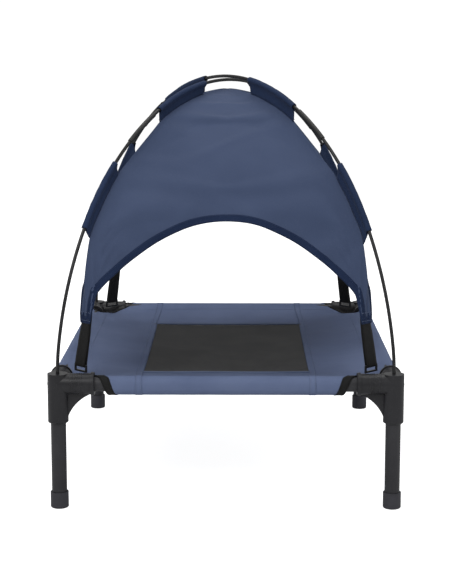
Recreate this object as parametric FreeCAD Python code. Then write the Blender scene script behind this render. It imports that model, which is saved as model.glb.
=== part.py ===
import FreeCAD, Part
import math
import os

from FreeCAD import Vector

# Raised pet cot with a tent canopy: steel tube frame, slung fabric bed and two crossed poles.
# Millimetres, +Z up, origin on the floor under the middle of the bed, front of the cot towards -Y.

# Overall sizes, between the leg axes and from the floor.
width = 570.0
length = 727.0
rail_height = 216.5
crown_height = 718.6

# Tubes.
tube_radius = 13.0
tube_wall = 1.2
push_fit = 0.2

# Corner connectors.
socket_wall = 4.3
socket_height = 84.5
arm_wall = 4.8
arm_length = 62.6
collar_rise = 2.0
collar_width = 6.0
core_wall = 4.8
divider = 11.0
web_thickness = 5.0
web_reach = 55.0
web_drop = 38.0
web_hollow = 5.0
web_root = 4.0
groove_count = 6
groove_pitch = 3.9
groove_width = 1.6
groove_depth = 0.8
groove_start = 22.0
edge_chamfer = 1.2

# Feet.
foot_wall = 2.4
foot_height = 28.0
foot_floor = 4.0
foot_rounding = 3.0

# Poles: hollow rods in three lengths, joined by outside ferrules and an elastic cord.
rod_radius = 3.0
rod_bore = 1.5
socket_play = 0.5
pole_depth = 37.0
pole_end_gap = 1.0
pole_gap = 0.6
ferrule_wall = 1.2
ferrule_play = 0.1
ferrule_length = 78.0
rod_gap = 1.0
section_length = 517.0
cord_radius = 1.1
cord_lead = 12.0
tip_head = 3.0
tip_shank = 8.0
tip_shank_radius = 1.35

# Shape of a pole from its socket to the crown: four tangent arcs, by radius and turn.
foot_bend_radius = 300.0
shoulder_radius = 492.0
pole_turns = (8.9, 21.5, 32.1, 27.5)

# Fabric.
cloth = 1.2
cloth_gap = 0.3
sleeve_slack = 4.3
sag = 26.0
bed_seat = 4.0
bed_margin = 3.0
bed_drop = 1.5
mesh_half_width = 147.2
mesh_end_margin = 131.5
sleeve_end_gap = 12.4
corner_lead = 9.0
band_width = 12.0

# Strap rings sewn to the corners of the bed.
ring_inset = 36.0
ring_tall = 13.0
ring_bar = 3.0
ring_side = 2.8
webbing = 25.0
ring_lift = 6.9
loop_play = 0.3
tab_overlap = 3.0
tab_drop = 0.4

# Canopy.
cover_gap = 18.0
crown_sag = 16.0
crown_flat = 71.0
strap_length = 76.6
strap_lean = 5.0
strap_overlap = 30.0
tip_overlap = 7.0
tip_narrowing = 3.0
arch_rise = 0.4339
arch_leg_rise = 0.1504
arch_leg_width = 36.0
arch_leg_lean = 6.0
knee_bulge = 1.0
upper_sleeve = (71.0, 207.0)
low_sleeve_length = 133.0
low_sleeve_up = 244.0
sleeve_play = 1.8
sleeve_clear = 0.3

# How far a cutting shape stands past what it cuts, and the smallest length that matters.
over = 1.0
tiny = 0.01

# Worked out from the sizes above.
half_w = width / 2
half_l = length / 2
half_diagonal = math.hypot(half_w, half_l)
socket_radius = tube_radius + push_fit + socket_wall
arm_radius = tube_radius + push_fit + arm_wall
collar_radius = arm_radius + collar_rise
core_half = tube_radius + push_fit + core_wall
foot_radius = tube_radius + push_fit / 2 + foot_wall
socket_top = rail_height + arm_radius
socket_bottom = socket_top - socket_height
leg_top = rail_height - tube_radius - push_fit - divider
pole_stack = 2 * rod_radius + pole_gap
bed_sleeve_radius = tube_radius + cloth_gap + cloth
bed_inset = math.sqrt(bed_seat * (2 * bed_sleeve_radius - bed_seat))
cloth_top = rail_height + bed_sleeve_radius
bed_edge = cloth_top - bed_drop
sleeve_setback = arm_length + sleeve_end_gap
corner_cut = sleeve_setback + corner_lead
ring_centre = bed_edge + ring_lift
ring_width = webbing + 2 * ring_bar
strap_inset = ring_inset + strap_lean
tip_inset = strap_inset * math.sqrt(2) - tip_overlap
tip_width = webbing - tip_narrowing
tip_height = ring_centre + strap_length
arch_top = tip_height + arch_rise * (crown_height - tip_height)
arch_leg_top = tip_height + arch_leg_rise * (crown_height - tip_height)

corners = {
    "front_left": (-1, -1),
    "front_right": (1, -1),
    "rear_left": (-1, 1),
    "rear_right": (1, 1),
}


def cylinder(radius, height, base, axis=Vector(0, 0, 1)):
    return Part.makeCylinder(radius, height, base, axis)


def tube(outer, inner, height, base, axis=Vector(0, 0, 1)):
    return cylinder(outer, height, base, axis).cut(cylinder(inner, height, base, axis))


def box(low, high):
    size = high - low
    return Part.makeBox(size.x, size.y, size.z, low)


def prism(points, direction):
    wire = Part.makePolygon(points + [points[0]])
    return Part.Face(wire).extrude(direction)


def at_corner(shape, sides):
    # A piece is drawn in the corner where x and y are positive, then turned over into its own corner.
    if sides[0] < 0:
        shape = shape.mirror(Vector(0, 0, 0), Vector(1, 0, 0))
    if sides[1] < 0:
        shape = shape.mirror(Vector(0, 0, 0), Vector(0, 1, 0))
    return shape


def save(shape, node):
    shape = shape.removeSplitter() if shape.ShapeType != "Compound" else shape
    shape.exportStep("parts/%s.step" % node)
    print("%-24s %d solid(s) %10.0f mm3 %s" % (node, len(shape.Solids), shape.Volume, shape.isValid()))


# Frame -------------------------------------------------------------------------------------------

def leg_tube(x, y):
    return tube(tube_radius, tube_radius - tube_wall, leg_top - foot_floor, Vector(x, y, foot_floor))


def foot_cap(x, y):
    body = cylinder(foot_radius, foot_height, Vector(x, y, 0))
    lower = [edge for edge in body.Edges if edge.BoundBox.ZMax < 0.1]
    body = body.makeFillet(foot_rounding, lower)
    return body.cut(cylinder(tube_radius + push_fit / 2, foot_height, Vector(x, y, foot_floor)))


def rail(axis):
    across = half_l if axis.x else half_w
    reach = (half_w if axis.x else half_l) - core_half - push_fit
    side = Vector(axis.y, axis.x, 0) * across
    start = side - axis * reach + Vector(0, 0, rail_height)
    return tube(tube_radius, tube_radius - tube_wall, 2 * reach, start, axis)


def chamfered(body, axis_end):
    edges = [e for e in body.Edges if e.CenterOfMass.distanceToPoint(axis_end) < 0.1 and e.isClosed()]
    return body.makeChamfer(edge_chamfer, edges)


def connector_arm(centre, inward):
    end = centre + inward * arm_length
    arm = cylinder(arm_radius, arm_length, centre, inward)
    for turn in range(groove_count):
        start = centre + inward * (groove_start + turn * groove_pitch)
        arm = arm.cut(tube(arm_radius + over, arm_radius - groove_depth, groove_width, start, inward))
    collar = cylinder(collar_radius, collar_width, end - inward * collar_width, inward)
    return arm.fuse(chamfered(collar, end))


def connector_web(centre, inward):
    # A thin rib in the angle under the arm, with a hollow lower edge.
    side = Vector(-inward.y, inward.x, 0)
    under = rail_height - arm_radius

    def place(out, height):
        return Vector(centre.x, centre.y, height) + inward * out - side * (web_thickness / 2)

    back = socket_radius - web_root
    corner = [place(web_reach, under), place(web_reach, under + web_root)]
    corner += [place(back, under + web_root), place(back, under - web_drop)]
    lower = place(socket_radius, under - web_drop)
    middle = place((socket_radius + web_reach) / 2 - web_hollow, under - web_drop / 2 + web_hollow / 2)
    hollow = Part.Arc(lower, middle, corner[0]).toShape()
    wire = Part.Wire([Part.makePolygon(corner + [lower]), hollow])
    return Part.Face(wire).extrude(side * web_thickness)


def corner_connector():
    centre = Vector(half_w, half_l, rail_height)
    socket = cylinder(socket_radius, socket_top - socket_bottom, Vector(half_w, half_l, socket_bottom))
    body = chamfered(socket, Vector(half_w, half_l, socket_bottom))
    for inward in (Vector(-1, 0, 0), Vector(0, -1, 0)):
        body = body.fuse(connector_arm(centre, inward)).fuse(connector_web(centre, inward))
    bore = tube_radius + push_fit
    for inward in (Vector(-1, 0, 0), Vector(0, -1, 0)):
        body = body.cut(cylinder(bore, arm_length, centre + inward * core_half, inward))
    below = Vector(half_w, half_l, socket_bottom)
    body = body.cut(cylinder(bore, leg_top + push_fit - socket_bottom, below))
    depth = pole_depth + pole_end_gap
    hole = cylinder(rod_radius + socket_play, depth + over, Vector(half_w, half_l, socket_top - depth))
    return body.cut(hole)


# Bed ---------------------------------------------------------------------------------------------

def dished_sheet():
    # The slung cloth drops off all four rails and is nearly flat in the middle.
    reach_x = half_w - bed_inset + bed_margin
    reach_y = half_l - bed_inset + bed_margin
    steps = 8
    grid = []
    for i in range(steps + 1):
        u = 2 * i / steps - 1
        row = []
        for j in range(steps + 1):
            v = 2 * j / steps - 1
            height = bed_edge - sag * (1 - u ** 4) * (1 - v ** 4)
            row.append(Vector(u * reach_x, v * reach_y, height))
        grid.append(row)
    surface = Part.BSplineSurface()
    surface.interpolate(grid)
    return surface.toShape().extrude(Vector(0, 0, -cloth))


def corner_region(near, far):
    # Plan region between two diagonal lines across the corner, as distances from the leg axis.
    base = 0.0
    points = [
        Vector(half_w - near, half_l, base),
        Vector(half_w, half_l - near, base),
        Vector(half_w, half_l - far, base),
        Vector(half_w - far, half_l, base),
    ]
    return prism(points, Vector(0, 0, crown_height))


def bed_part(sheet, low, high):
    piece = sheet.common(box(Vector(low[0], low[1], 0), Vector(high[0], high[1], crown_height)))
    cut = corner_cut + band_width * math.sqrt(2)
    for sides in corners.values():
        piece = piece.cut(at_corner(corner_region(tiny, cut), sides))
    return piece


def sleeve_section(outer, start, axis, run):
    # A loose loop round the rail: round over the top and hanging a little below it.
    across = Vector(-axis.y, axis.x, 0)
    top = start
    low = start - Vector(0, 0, sleeve_slack)
    up = Vector(0, 0, outer)
    side = across * outer
    edges = [
        Part.Arc(top - side, top + up, top + side).toShape(),
        Part.LineSegment(top + side, low + side).toShape(),
        Part.Arc(low + side, low - up, low - side).toShape(),
        Part.LineSegment(low - side, top - side).toShape(),
    ]
    return Part.Face(Part.Wire(edges)).extrude(axis * run)


def rail_loop(start, axis, run):
    inner = tube_radius + cloth_gap
    return sleeve_section(inner + cloth, start, axis, run).cut(sleeve_section(inner, start, axis, run))


def bed_sleeve(axis, sign):
    along = half_w if axis.x else half_l
    across = half_l if axis.x else half_w
    reach = along - sleeve_setback - band_width
    start = Vector(axis.y, axis.x, 0) * (sign * across) - axis * reach + Vector(0, 0, rail_height)
    return rail_loop(start, axis, 2 * reach)


def diagonal_frame(inset, height):
    # Centre point, inward direction and sideways direction on the corner's own diagonal.
    centre = Vector(half_w - inset, half_l - inset, height)
    inward = Vector(-1, -1, 0).normalize()
    sideways = Vector(1, -1, 0).normalize()
    return centre, inward, sideways


def corner_band(sheet):
    # Black webbing round the two sleeve ends and across the cut corner, with a loop for the ring.
    far = corner_cut + band_width * math.sqrt(2)
    edge = Vector(half_w - bed_inset + bed_margin, half_l - bed_inset + bed_margin, crown_height)
    limit = box(Vector(0, 0, 0), edge)
    body = sheet.common(corner_region(corner_cut, far)).common(limit)
    for axis in (Vector(1, 0, 0), Vector(0, 1, 0)):
        across = Vector(axis.y, axis.x, 0) * (half_l if axis.x else half_w)
        along = axis * ((half_w if axis.x else half_l) - sleeve_setback - band_width)
        start = across + along + Vector(0, 0, rail_height)
        keep_off = tube_radius + 2 * cloth_gap + cloth
        body = body.cut(sleeve_section(keep_off, start, axis * -1, 2 * band_width))
        body = body.fuse(rail_loop(start, axis, band_width))
    lower = ring_centre - ring_tall / 2 + ring_bar / 2
    centre, inward, sideways = diagonal_frame(ring_inset, lower)
    start = centre - sideways * (webbing / 2)
    hole = ring_bar / math.sqrt(2) + loop_play
    loop = tube(hole + cloth, hole, webbing, start, sideways)
    reach = (corner_cut / math.sqrt(2) + tab_overlap) - ring_inset * math.sqrt(2)
    tab_low = start + Vector(0, 0, bed_edge - cloth - lower - tab_drop)
    tab = prism(
        [tab_low, tab_low + inward * reach,
         tab_low + inward * reach + Vector(0, 0, cloth), tab_low + Vector(0, 0, cloth)],
        sideways * webbing,
    )
    tab = tab.cut(cylinder(hole, webbing, start, sideways))
    return body.fuse(tab).fuse(loop)


def strap_ring():
    centre, inward, sideways = diagonal_frame(ring_inset, ring_centre)

    def slab(wide, tall, thick):
        start = centre - sideways * (wide / 2) - inward * (thick / 2) - Vector(0, 0, tall / 2)
        points = [start, start + sideways * wide,
                  start + sideways * wide + inward * thick, start + inward * thick]
        return prism(points, Vector(0, 0, tall))

    ring = slab(ring_width, ring_tall, ring_bar)
    return ring.cut(slab(ring_width - 2 * ring_side, ring_tall - 2 * ring_bar, ring_bar + 2 * over))


# Poles -------------------------------------------------------------------------------------------

def pole_radii(crown):
    # The second and fourth radii are the ones that bring the arcs to the crown, level.
    turned = 0.0
    parts = []
    for turn in pole_turns:
        end = turned + math.radians(turn)
        parts.append((math.cos(turned) - math.cos(end), math.sin(end) - math.sin(turned)))
        turned = end
    inward = half_diagonal - foot_bend_radius * parts[0][0] - shoulder_radius * parts[2][0]
    upward = crown - socket_top - foot_bend_radius * parts[0][1] - shoulder_radius * parts[2][1]
    cross = parts[1][0] * parts[3][1] - parts[3][0] * parts[1][1]
    second = (inward * parts[3][1] - parts[3][0] * upward) / cross
    fourth = (parts[1][0] * upward - inward * parts[1][1]) / cross
    return (foot_bend_radius, second, shoulder_radius, fourth)


class Pole:
    # One bent pole. Places along it are measured from the crown: negative on the near side.

    def __init__(self, crown, side):
        self.side = side
        self.arcs = []
        reach = half_diagonal
        height = socket_top
        turned = 0.0
        for radius, turn in zip(pole_radii(crown), pole_turns):
            angle = math.radians(turn)
            self.arcs.append((radius, turned, angle, reach, height))
            reach -= radius * (math.cos(turned) - math.cos(turned + angle))
            height += radius * (math.sin(turned + angle) - math.sin(turned))
            turned += angle
        self.half = sum(radius * angle for radius, _, angle, _, _ in self.arcs)
        self.tip = self.half + pole_depth

    def profile(self, place):
        # Distance from the middle and height, and the direction towards the inside of the dome.
        run = self.half - abs(place)
        if run < 0:
            return half_diagonal, socket_top + run, (1.0, 0.0)
        for radius, turned, angle, reach, height in self.arcs:
            if run <= radius * angle + tiny ** 2:
                now = turned + run / radius
                out = reach - radius * (math.cos(turned) - math.cos(now))
                up = height + radius * (math.sin(now) - math.sin(turned))
                return out, up, (math.cos(now), math.sin(now))
            run -= radius * angle
        return 0.0, height, (0.0, 1.0)

    def point(self, place):
        out, up, _ = self.profile(place)
        share = (-out if place < 0 else out) / half_diagonal
        return Vector(share * half_w * self.side, share * half_l, up)

    def joints(self):
        breaks = [0.0]
        run = self.half
        for radius, _, angle, _, _ in self.arcs:
            breaks += [run, -run]
            run -= radius * angle
        return breaks

    def wire(self, start, end):
        inside = sorted(place for place in self.joints() if start + tiny < place < end - tiny)
        stops = [start] + inside + [end]
        edges = []
        for low, high in zip(stops, stops[1:]):
            middle = (low + high) / 2
            if abs(middle) > self.half:
                edges.append(Part.LineSegment(self.point(low), self.point(high)).toShape())
            else:
                edges.append(Part.Arc(self.point(low), self.point(middle), self.point(high)).toShape())
        return Part.Wire(edges)

    def rod(self, radius, start, end):
        path = self.wire(start, end)
        direction = path.Edges[0].tangentAt(path.Edges[0].FirstParameter)
        if (path.Edges[0].Vertexes[0].Point - self.point(start)).Length > tiny:
            direction = direction * -1
        ring = Part.Wire([Part.Circle(self.point(start), direction, radius).toShape()])
        return path.makePipeShell([ring], True, False)

    def pipe(self, outer, inner, start, end):
        return self.rod(outer, start, end).cut(self.rod(inner, start, end))


# Canopy ------------------------------------------------------------------------------------------

def cover_line(pole, last):
    # Fall line of the cover from the crown to its corner tip, as distance from the middle and height.
    points = [(0.0, crown_height - crown_sag)]
    count = 12
    for step in range(count + 1):
        place = crown_flat + (last - crown_flat) * step / count
        out, up, (inx, inz) = pole.profile(place)
        points.append((out - inx * cover_gap, up - inz * cover_gap))
    tip = half_diagonal - tip_inset
    out, up = points[-1]
    points.append(((out + tip) / 2 + knee_bulge, (up + tip_height) / 2))
    points.append((tip, tip_height))
    return points


def cover_sheet(line, share, span, direction):
    # The fall line, thickened inwards and drawn out level along one side of the cot.
    outer = [Vector(0, 0, height) + direction * (out * share) for out, height in line]
    inner = []
    for index, point in enumerate(outer):
        before = outer[max(index - 1, 0)]
        after = outer[min(index + 1, len(outer) - 1)]
        run = (after - before).normalize()
        normal = run.cross(direction.cross(Vector(0, 0, 1)))
        inner.append(point + normal * cloth * (1 if normal.z < 0 else -1))
    inner[0] = outer[0] - Vector(0, 0, cloth)
    curves = []
    for points in (outer, inner):
        curve = Part.BSplineCurve()
        curve.interpolate(points)
        curves.append(curve.toShape())
    ends = [Part.makeLine(outer[0], inner[0]), Part.makeLine(outer[-1], inner[-1])]
    face = Part.Face(Part.Wire(Part.__sortEdges__(curves + ends)))
    along = Vector(-direction.y, direction.x, 0)
    face.translate(along * -span)
    return face.extrude(along * (2 * span))


def arch_outline(half_span, direction, reach):
    # A parabola over the doorway, then nearly upright edges down to the corner tips.
    along = Vector(-direction.y, direction.x, 0)
    spread = half_span / math.sqrt(arch_top - arch_leg_top)
    curve = []
    steps = 8
    for step in range(-steps, steps + 1):
        side = half_span * step / steps
        curve.append(along * side + Vector(0, 0, arch_top - (side / spread) ** 2))
    spline = Part.BSplineCurve()
    spline.interpolate(curve)
    foot = along * (reach - tip_width)
    tip, below = Vector(0, 0, tip_height), Vector(0, 0, tip_height - tip_width)
    legs = [curve[-1], foot + tip, foot + below, below - foot, tip - foot, curve[0]]
    wire = Part.Wire(Part.__sortEdges__([spline.toShape()] + list(Part.makePolygon(legs).Edges)))
    return Part.Face(wire).extrude(direction * half_diagonal)


def canopy_panel(line, direction):
    lengthways = bool(direction.y)
    share = (half_l if lengthways else half_w) / half_diagonal
    span = half_w if lengthways else half_l
    sheet = cover_sheet(line, share, span, direction)
    across = half_w if lengthways else half_l
    out = half_l if lengthways else half_w
    along = Vector(-direction.y, direction.x, 0)
    plan = [Vector(0, 0, 0), direction * out + along * across, direction * out - along * across]
    sheet = sheet.common(prism(plan, Vector(0, 0, 2 * crown_height)))
    tip = (half_diagonal - tip_inset) * span / half_diagonal
    leg = (half_diagonal - tip_inset - arch_leg_lean) * span / half_diagonal - arch_leg_width
    sheet = sheet.cut(arch_outline(leg, direction, tip))
    # Each corner tip ends flat across the diagonal, where the strap is sewn.
    tip_zone = box(Vector(-width, -length, 0), Vector(width, length, tip_height + strap_overlap))
    for sides in corners.values():
        sheet = sheet.cut(at_corner(corner_region(tiny, 2 * strap_inset), sides).common(tip_zone))
    return sheet


def pole_sleeve(pole, stretch, sign):
    # A loop of cloth round the pole, its two edges sewn together and carried down to the cover.
    start, end = stretch
    if sign < 0:
        start, end = -end, -start
    inner = rod_radius + sleeve_play
    outer = inner + cloth
    here = pole.point(start)
    _, _, (inward, downward) = pole.profile(start)
    flat = (here - Vector(0, 0, here.z)).normalize() * -1
    below = flat * inward - Vector(0, 0, downward)
    along = pole.point(start + tiny) - here
    side = below.cross(along).normalize()
    half = cloth
    neck = math.sqrt(outer * outer - half * half)
    reach = cover_gap - sleeve_clear
    start_left, start_right = here - side * half + below * neck, here + side * half + below * neck
    end_left, end_right = here - side * half + below * reach, here + side * half + below * reach
    edges = [Part.Arc(start_right, here - below * outer, start_left).toShape()]
    edges += [Part.makeLine(start_left, end_left), Part.makeLine(end_left, end_right)]
    edges += [Part.makeLine(end_right, start_right)]
    body = pole.wire(start, end).makePipeShell([Part.Wire(edges)], True, False)
    return body.cut(pole.rod(inner, start, end))


def canopy_strap():
    # Webbing doubled through the ring and sewn to the canopy's corner.
    top_bar = ring_centre + ring_tall / 2 - ring_bar / 2
    centre, inward, sideways = diagonal_frame(ring_inset, top_bar)
    head, _, _ = diagonal_frame(strap_inset, tip_height)
    hole = ring_bar / math.sqrt(2) + loop_play
    start = centre - sideways * (webbing / 2)
    loop = cylinder(hole + cloth, webbing, start, sideways)
    edge = sideways * (webbing / 2)
    # Its inner face lies on the diagonal line where the cover's corner ends.
    back = inward * (-2 * cloth)
    top = head + Vector(0, 0, strap_overlap)
    points = [centre + inward * cloth - edge, head - edge, top - edge, top + back - edge]
    points += [head + back - edge, centre - inward * cloth - edge]
    body = prism(points, sideways * webbing).fuse(loop)
    return body.cut(cylinder(hole, webbing, start, sideways))


# Making every piece ------------------------------------------------------------------------------

os.makedirs("parts", exist_ok=True)

connector = corner_connector()
bed = dished_sheet()
band = corner_band(bed)
ring = strap_ring()
strap = canopy_strap()
for name, sides in corners.items():
    x, y = sides[0] * half_w, sides[1] * half_l
    save(leg_tube(x, y), "leg_tube_" + name)
    save(foot_cap(x, y), "foot_cap_" + name)
    save(at_corner(connector, sides), "corner_connector_" + name)
    save(at_corner(band, sides), "corner_band_" + name)
    save(at_corner(ring, sides), "strap_ring_" + name)
    save(at_corner(strap, sides), "canopy_strap_" + name)

cross_rail = rail(Vector(1, 0, 0))
side_rail = rail(Vector(0, 1, 0))
save(cross_rail.mirror(Vector(0, 0, 0), Vector(0, 1, 0)), "rail_front")
save(cross_rail, "rail_rear")
save(side_rail.mirror(Vector(0, 0, 0), Vector(1, 0, 0)), "rail_left")
save(side_rail, "rail_right")
save(bed_sleeve(Vector(1, 0, 0), -1), "bed_sleeve_front")
save(bed_sleeve(Vector(1, 0, 0), 1), "bed_sleeve_rear")
save(bed_sleeve(Vector(0, 1, 0), -1), "bed_sleeve_left")
save(bed_sleeve(Vector(0, 1, 0), 1), "bed_sleeve_right")

edge_x = half_w - bed_inset
edge_y = half_l - bed_inset
mesh_y = half_l - mesh_end_margin
mesh_x = mesh_half_width
save(bed_part(bed, (-mesh_x, -mesh_y), (mesh_x, mesh_y)), "mesh_panel")
save(bed_part(bed, (-mesh_x, -edge_y), (mesh_x, -mesh_y)), "end_panel_front")
save(bed_part(bed, (-mesh_x, mesh_y), (mesh_x, edge_y)), "end_panel_rear")
save(bed_part(bed, (-edge_x, -edge_y), (-mesh_x, edge_y)), "side_panel_left")
save(bed_part(bed, (mesh_x, -edge_y), (edge_x, edge_y)), "side_panel_right")

# The lower pole runs front left to rear right, and the upper one lies across it at the crown.
poles = {"lower": Pole(crown_height, 1), "upper": Pole(crown_height + pole_stack, -1)}
low_sleeve_end = poles["lower"].half - low_sleeve_up
lower_sleeve = (low_sleeve_end - low_sleeve_length, low_sleeve_end)
ferrules = []
tips = []
cords = []
for name, pole in poles.items():
    joint = section_length / 2
    middle_end = joint - rod_gap / 2
    outer_end = joint + rod_gap / 2
    stretches = {
        "front": (-pole.tip, -outer_end),
        "middle": (-middle_end, middle_end),
        "rear": (outer_end, pole.tip),
    }
    for place, (start, end) in stretches.items():
        save(pole.pipe(rod_radius, rod_bore, start, end), "pole_%s_%s_rod" % (name, place))
    bore = rod_radius + ferrule_play
    for place in (-joint, joint):
        low, high = place - ferrule_length / 2, place + ferrule_length / 2
        ferrules.append(pole.pipe(bore + ferrule_wall, bore, low, high))
    for sign in (-1, 1):
        foot = pole.point(sign * pole.tip)
        head = cylinder(rod_radius, pole_end_gap / 2, foot - Vector(0, 0, pole_end_gap / 2))
        tips.append(head.fuse(cylinder(tip_shank_radius, tip_shank, foot)))
    cords.append(pole.rod(cord_radius, -pole.tip + cord_lead, pole.tip - cord_lead))
    for sign, end in ((-1, "front"), (1, "rear")):
        save(pole_sleeve(pole, upper_sleeve, sign), "pole_%s_top_sleeve_%s" % (name, end))
        save(pole_sleeve(pole, lower_sleeve, sign), "pole_%s_low_sleeve_%s" % (name, end))
save(Part.Compound(ferrules), "pole_ferrules")
save(Part.Compound(tips), "pole_tips")
save(Part.Compound(cords), "shock_cords")

line = cover_line(poles["lower"], low_sleeve_end)
save(canopy_panel(line, Vector(0, -1, 0)), "canopy_panel_front")
save(canopy_panel(line, Vector(0, 1, 0)), "canopy_panel_rear")
save(canopy_panel(line, Vector(-1, 0, 0)), "canopy_panel_left")
save(canopy_panel(line, Vector(1, 0, 0)), "canopy_panel_right")
print("half pole", round(poles["lower"].half, 2), "arc radii", [round(r) for r in pole_radii(crown_height)])
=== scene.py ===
import math

import bmesh
import bpy
from mathutils import Matrix, Vector, noise
from mathutils.bvhtree import BVHTree


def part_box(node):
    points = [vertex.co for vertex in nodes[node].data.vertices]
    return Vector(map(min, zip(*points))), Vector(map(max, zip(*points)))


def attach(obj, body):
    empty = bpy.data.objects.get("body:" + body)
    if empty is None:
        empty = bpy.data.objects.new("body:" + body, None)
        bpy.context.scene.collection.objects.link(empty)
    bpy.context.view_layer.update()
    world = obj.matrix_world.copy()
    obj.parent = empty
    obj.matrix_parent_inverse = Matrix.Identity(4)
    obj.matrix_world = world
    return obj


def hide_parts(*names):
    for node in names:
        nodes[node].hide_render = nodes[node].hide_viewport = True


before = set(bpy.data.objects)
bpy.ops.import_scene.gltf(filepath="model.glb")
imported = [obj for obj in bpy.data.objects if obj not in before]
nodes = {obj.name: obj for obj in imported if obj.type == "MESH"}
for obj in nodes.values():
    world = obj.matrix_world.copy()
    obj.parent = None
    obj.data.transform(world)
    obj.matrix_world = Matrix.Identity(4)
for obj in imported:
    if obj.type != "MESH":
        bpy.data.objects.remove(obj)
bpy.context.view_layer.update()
mm = 0.001
print("frame loaded:", len(nodes), "parts")

# sizes that everything else hangs on, read off the frame
legLow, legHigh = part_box("leg_tube_rear_right")
halfWidth = (legLow.x + legHigh.x) / 2
halfLength = (legLow.y + legHigh.y) / 2
tubeRadius = (legHigh.x - legLow.x) / 2
railHeight = sum(corner.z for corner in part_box("rail_left")) / 2
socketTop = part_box("corner_connector_front_left")[1].z - 2 * mm   # the collars stand 2 mm above it
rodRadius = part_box("pole_tips")[1].x - halfWidth
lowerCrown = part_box("pole_lower_middle_rod")[1].z - rodRadius
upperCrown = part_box("pole_upper_middle_rod")[1].z - rodRadius
halfDiagonal = math.hypot(halfWidth, halfLength)
shareX, shareY = halfWidth / halfDiagonal, halfLength / halfDiagonal
corners = {"front_left": (-1, -1), "front_right": (1, -1), "rear_left": (-1, 1), "rear_right": (1, 1)}
# the canopy's panels going round anticlockwise, each starting at one corner
sideNames = ("front", "right", "rear", "left")
startCorners = ("front_left", "front_right", "rear_right", "rear_left")


# camera, floor and light

cameraSettings = {"place": (0.022, -2.9195, 0.794), "tilt": 80.68, "turn": 0.48, "lens": 95.1}
stageSettings = {"size": 9.0, "paper": (0.80, 0.80, 0.80), "glow": 0.84, "sky": 0.50, "white": 1.05}


def setCamera(s):
    camera = bpy.data.objects.new("camera", bpy.data.cameras.new("camera"))
    camera.data.lens = s["lens"]
    camera.location = s["place"]
    camera.rotation_euler = (math.radians(s["tilt"]), 0, math.radians(s["turn"]))
    bpy.context.scene.collection.objects.link(camera)
    bpy.context.scene.camera = camera


def areaLight(name, place, aim, size, power, colour=(1, 1, 1)):
    light = bpy.data.objects.new(name, bpy.data.lights.new(name, "AREA"))
    light.data.shape = "RECTANGLE"
    light.data.size, light.data.size_y = size
    light.data.energy = power
    light.data.color = colour
    light.location = place
    light.rotation_euler = (Vector(aim) - Vector(place)).to_track_quat("-Z", "Y").to_euler()
    bpy.context.scene.collection.objects.link(light)


def buildStage(s):
    floorMesh = bpy.data.meshes.new("floor")
    half = s["size"] / 2
    floorMesh.from_pydata([(-half, -half, 0), (half, -half, 0), (half, half, 0), (-half, half, 0)],
                          [], [(0, 1, 2, 3)])
    floor = bpy.data.objects.new("floor", floorMesh)
    bpy.context.scene.collection.objects.link(floor)
    paper, tree, shader = newMaterial("paper", {"Base Color": s["paper"], "Roughness": 0.9,
                                                "Specular IOR Level": 0.1, "Emission Color": (1, 1, 1)})
    seen = add(tree, "ShaderNodeLightPath").outputs["Is Camera Ray"]
    link(tree, mathNode(tree, "MULTIPLY", seen, s["glow"]), shader.inputs["Emission Strength"])
    floorMesh.materials.append(paper)
    world = bpy.data.worlds.new("studio")
    world.use_nodes = True
    tree = world.node_tree
    sky = tree.nodes["Background"].inputs
    feed(tree, sky["Color"], (1, 1, 1))
    # plain white to look at, dimmer as light on the cot
    seen = add(tree, "ShaderNodeLightPath").outputs["Is Camera Ray"]
    feed(tree, sky["Strength"], mathNode(tree, "MULTIPLY_ADD", seen, s["white"] - s["sky"], s["sky"]))
    bpy.context.scene.world = world
    bpy.context.scene.view_settings.view_transform = "Standard"
    areaLight("key", (-1.3, -2.4, 2.6), (0, 0, 0.35), (1.8, 1.4), 48)
    areaLight("fill", (2.2, -1.8, 1.7), (0, 0, 0.35), (1.6, 1.6), 12)
    areaLight("top", (0.1, 0.5, 2.9), (0, 0, 0.3), (1.8, 1.8), 30)


# small helpers for node trees

def link(tree, source, target):
    tree.links.new(source, target)


def feed(tree, socket, value):
    # wire the socket, or set it where the value is a plain one
    if isinstance(value, bpy.types.NodeSocket):
        link(tree, value, socket)
    elif socket.type == "RGBA":
        socket.default_value = (*value[:3], 1)
    else:
        socket.default_value = value


def add(tree, kind, inputs=None, **settings):
    node = tree.nodes.new(kind)
    for name, value in settings.items():
        setattr(node, name, value)
    for name, value in (inputs or {}).items():
        feed(tree, node.inputs[name], value)
    return node


def mathNode(tree, operation, *values):
    return add(tree, "ShaderNodeMath", dict(enumerate(values)), operation=operation).outputs[0]


def mixColour(tree, factor, a, b):
    return add(tree, "ShaderNodeMix", {0: factor, 6: a, 7: b}, data_type="RGBA").outputs[2]


def newGroup(name, kind, inputs, outputs):
    tree = bpy.data.node_groups.new(name, kind)
    for socketName, socketKind, value in inputs:
        socket = tree.interface.new_socket(socketName, in_out="INPUT", socket_type="NodeSocket" + socketKind)
        if value is not None:
            socket.default_value = value
    for socketName, socketKind in outputs:
        tree.interface.new_socket(socketName, in_out="OUTPUT", socket_type="NodeSocket" + socketKind)
    return tree, tree.nodes.new("NodeGroupInput").outputs, tree.nodes.new("NodeGroupOutput").inputs


def noiseNode(tree, vector, scale, detail=3.0, roughness=0.5):
    sizes = {"Vector": vector, "Scale": scale, "Detail": detail, "Roughness": roughness}
    return add(tree, "ShaderNodeTexNoise", sizes).outputs["Fac"]


def rampNode(tree, value, low, high):
    return add(tree, "ShaderNodeMapRange", {"Value": value, "From Min": low, "From Max": high},
               interpolation_type="SMOOTHSTEP").outputs["Result"]


# effects that several materials share

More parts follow.
